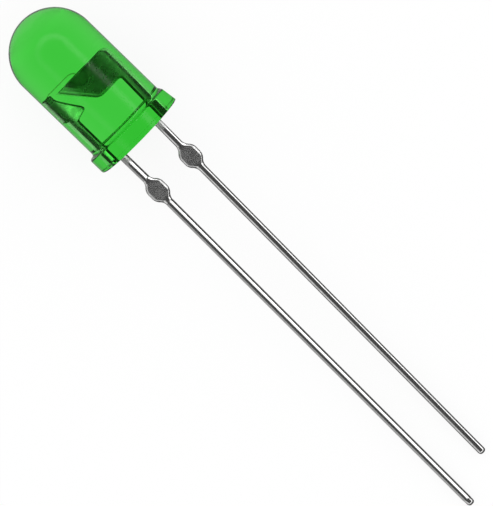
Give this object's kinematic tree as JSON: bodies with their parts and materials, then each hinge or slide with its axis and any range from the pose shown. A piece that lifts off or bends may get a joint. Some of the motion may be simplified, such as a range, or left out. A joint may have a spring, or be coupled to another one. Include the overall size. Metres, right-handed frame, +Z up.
{
  "type": "through hole led",
  "caption": "Round-headed light-emitting diode in a clear green tinted lens, with its lead frame, reflector cup, chip and bond wire inside, lying on its flange and its lead tips.",
  "frame": {"origin": "middle of the part's bounding box in plan, at the height of the table that it lies on", "axes": "+X from the lead tips towards the dome, level; +Y towards the anode side; +Z up, away from the table"},
  "size_m": [0.0356, 0.0056, 0.0059],
  "materials": {
    "lens_epoxy": "clear green tinted epoxy, gloss as cast",
    "tinned_steel": "tinned, bright with fine draw lines",
    "silver_epoxy": "matt, silver filled",
    "chip_crystal": "sawn sides, polished top",
    "gold": "bright"
  },
  "bodies": {
    "root": {"epoxy_lens": "lens_epoxy", "cathode_lead": "tinned_steel", "anode_lead": "tinned_steel", "die_attach": "silver_epoxy", "led_chip": "chip_crystal", "chip_contact": "gold", "bond_wire": "gold"}
  },
  "joints": []
}
